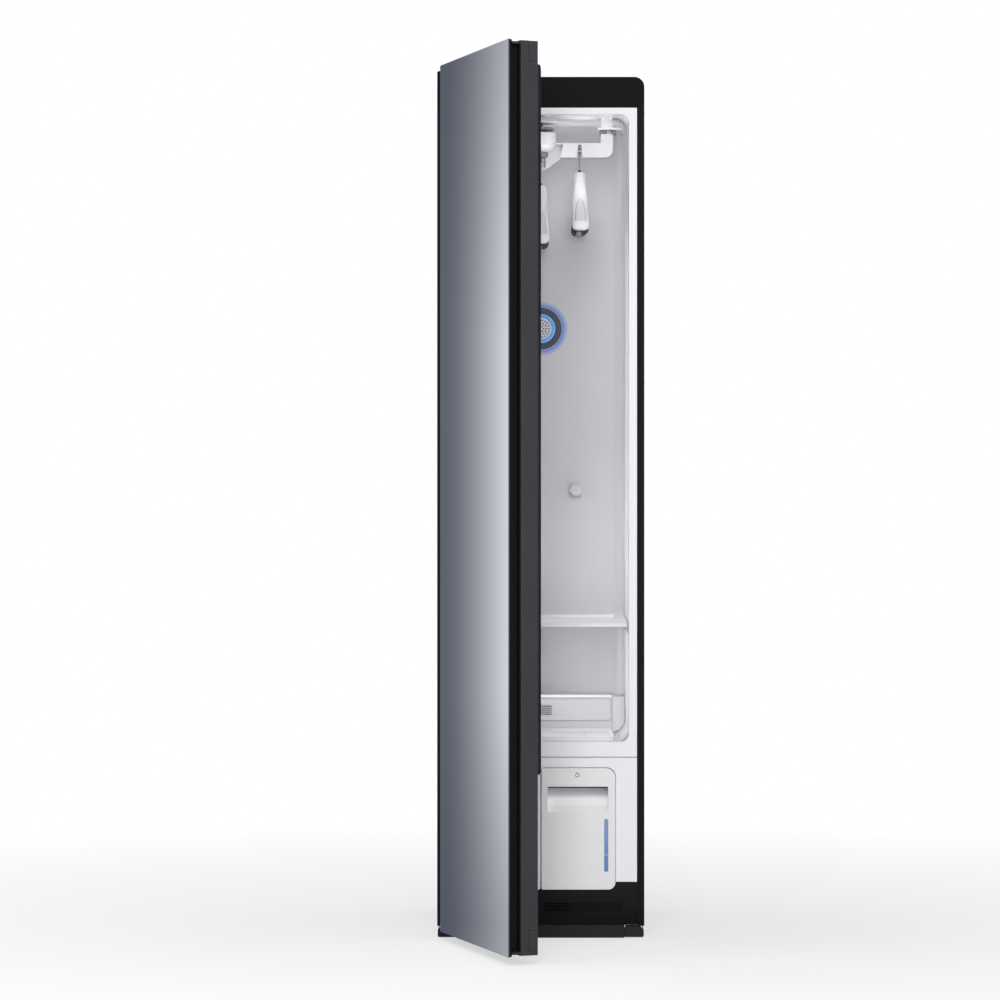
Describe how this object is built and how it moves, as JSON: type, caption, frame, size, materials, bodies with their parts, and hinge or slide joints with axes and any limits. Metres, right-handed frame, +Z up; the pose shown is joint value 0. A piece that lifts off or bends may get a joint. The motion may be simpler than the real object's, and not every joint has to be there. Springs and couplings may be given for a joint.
{
  "type": "clothes care steam cabinet",
  "caption": "Slim upright cabinet that steams, shakes and dries hanging clothes, with a mirror door, a moving hanger rail, a shelf and water tanks in the base.",
  "frame": {"origin": "on the floor, below the middle of the cabinet's front face; the kick board's lower edge lies 4 mm behind it", "axes": "+X to the right seen from the front, +Y from the front face into the cabinet, +Z up"},
  "size_m": [0.445, 0.9623, 1.8697],
  "materials": {
    "mirror_glass": "dark tinted mirror, polished",
    "black_plastic": "moulded, fine matt",
    "dark_painted_steel": "satin paint",
    "galvanised_steel": "dull zinc",
    "white_plastic": "moulded, satin",
    "grey_plastic": "moulded, satin",
    "liner_plastic": "vacuum-formed, satin",
    "blue_light_guide": "milky, glossy",
    "clear_window": "clear, glossy",
    "dark_grille": "moulded, matt",
    "bright_steel": "polished",
    "cast_aluminium": "cast, dull",
    "black_compressor": "gloss enamel",
    "black_rubber": "soft, matt",
    "grey_hanger": "moulded, satin",
    "acetal_bush": "moulded"
  },
  "bodies": {
    "cabinet": {"side_panels": "dark_painted_steel", "top_cover": "dark_painted_steel", "top_front_band": "black_plastic", "back_panel": "galvanised_steel", "cord_gland": "black_plastic", "base_pan": "galvanised_steel", "plinth": "black_plastic", "levelling_feet": "black_plastic", "base_front_panel": "black_plastic", "lower_front_panel": "white_plastic", "tank_bay": "white_plastic", "left_tank_front": "grey_plastic", "left_tank_vessel": "grey_plastic", "left_tank_window": "clear_window", "cabinet_liner": "liner_plastic", "front_frame": "white_plastic", "steam_nozzle": "dark_grille", "light_ring": "blue_light_guide", "back_wall_peg": "liner_plastic", "air_module": "liner_plastic", "floor_tray": "white_plastic", "ceiling_mounts": "white_plastic", "drive_motor": "dark_painted_steel", "compressor": "black_compressor", "heat_exchanger": "cast_aluminium", "blower_housing": "dark_grille", "steam_generator": "cast_aluminium", "steam_duct": "dark_grille", "drain_pump": "dark_grille", "control_box": "dark_grille", "upper_hinge": "dark_painted_steel", "upper_hinge_cover": "black_plastic", "lower_hinge": "dark_painted_steel"},
    "door": {"door_glass": "mirror_glass", "door_backplate": "black_plastic", "door_grip_rail": "black_plastic", "door_hinge_rail": "black_plastic", "door_inner_panel": "black_plastic", "door_gasket": "black_rubber", "door_end_caps": "black_plastic", "hinge_pockets": "black_plastic", "hinge_bushes": "acetal_bush", "corner_inserts": "black_plastic"},
    "right_tank": {"right_tank_front": "grey_plastic", "right_tank_vessel": "grey_plastic", "right_tank_window": "clear_window"},
    "shelf": {"shelf": "white_plastic"},
    "lint_drawer": {"lint_drawer": "liner_plastic"},
    "hanger_rail": {"hanger_rail": "white_plastic", "rail_hub": "white_plastic", "hub_boss": "dark_grille", "hook_rods": "bright_steel"},
    "drive_crank": {"drive_crank": "bright_steel"},
    "left_hanger": {"left_hanger_body": "grey_hanger", "left_hanger_hook": "bright_steel"},
    "middle_hanger": {"middle_hanger_body": "grey_hanger", "middle_hanger_hook": "bright_steel"},
    "right_hanger": {"right_hanger_body": "grey_hanger", "right_hanger_hook": "bright_steel"},
    "blower_wheel": {"blower_wheel": "dark_grille"}
  },
  "joints": [
    {"name": "door_hinge", "type": "hinge", "parent": "cabinet", "child": "door", "pos_m": [-0.1911, -0.057, 0.94], "axis": [0, 0, -1], "range_deg": [-70.09, 39.9]},
    {"name": "right_tank_slide", "type": "slide", "parent": "cabinet", "child": "right_tank", "axis": [0, -1, 0], "range_m": [0, 0.19]},
    {"name": "shelf_lift", "type": "slide", "parent": "cabinet", "child": "shelf", "axis": [0, 0, 1], "range_m": [0, 0.06]},
    {"name": "lint_drawer_slide", "type": "slide", "parent": "cabinet", "child": "lint_drawer", "axis": [0, -1, 0], "range_m": [0, 0.075]},
    {"name": "rail_shake", "type": "slide", "parent": "cabinet", "child": "hanger_rail", "axis": [1, 0, 0], "range_m": [-0.012, 0.012]},
    {"name": "crank_turn", "type": "hinge", "parent": "cabinet", "child": "drive_crank", "pos_m": [0, 0.21, 1.765], "axis": [0, 0, 1], "range_deg": [-42, 42]},
    {"name": "left_hanger_swing", "type": "hinge", "parent": "hanger_rail", "child": "left_hanger", "pos_m": [-0.086, 0.21, 1.71805], "axis": [0, 1, 0], "range_deg": [-8, 8]},
    {"name": "middle_hanger_swing", "type": "hinge", "parent": "hanger_rail", "child": "middle_hanger", "pos_m": [0, 0.21, 1.68955], "axis": [0, 1, 0], "range_deg": [-8, 8]},
    {"name": "right_hanger_swing", "type": "hinge", "parent": "hanger_rail", "child": "right_hanger", "pos_m": [0.086, 0.21, 1.71805], "axis": [0, 1, 0], "range_deg": [-8, 8]},
    {"name": "blower_spin", "type": "hinge", "parent": "cabinet", "child": "blower_wheel", "pos_m": [0.1, 0.406, 0.1], "axis": [0, 0, 1], "continuous": true}
  ],
  "couplings": [
    {"joint": "crank_turn", "follows": "rail_shake", "rad_per_m": 60.81}
  ]
}
